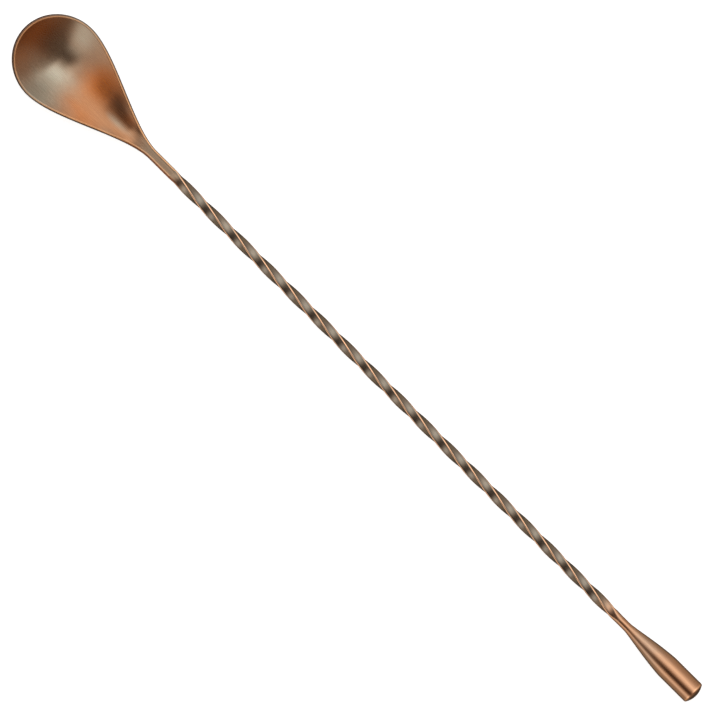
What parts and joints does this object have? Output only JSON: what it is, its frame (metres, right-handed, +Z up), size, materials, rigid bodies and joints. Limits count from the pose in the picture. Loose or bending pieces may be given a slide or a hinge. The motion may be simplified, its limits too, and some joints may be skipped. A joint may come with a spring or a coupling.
{
  "type": "bar spoon",
  "caption": "Long-handled spoon for stirring and layering drinks: teardrop bowl, handle twisted from square bar, and a turned weight on the free end.",
  "frame": {"origin": "on the table plane, under the middle of the spoon's length and width; the spoon lies on the underside of its bowl and on its weight", "axes": "+X along the spoon from the bowl's tip to the weight's end, +Y across it, +Z up out of the bowl's hollow"},
  "size_m": [0.3, 0.0294, 0.0082],
  "materials": {
    "bowl_copper": "antique copper plating over stainless steel, brushed along the spoon, satin",
    "stem_copper": "antique copper plating over stainless steel, dull on the faces and bright on the edges",
    "weight_copper": "antique copper plating over stainless steel, satin turned finish",
    "braze": "as-flowed silver brazing filler, hidden inside the joints"
  },
  "bodies": {
    "root": {"bowl": "bowl_copper", "stem": "stem_copper", "end_weight": "weight_copper", "bowl_braze": "braze", "weight_braze": "braze"}
  },
  "joints": []
}
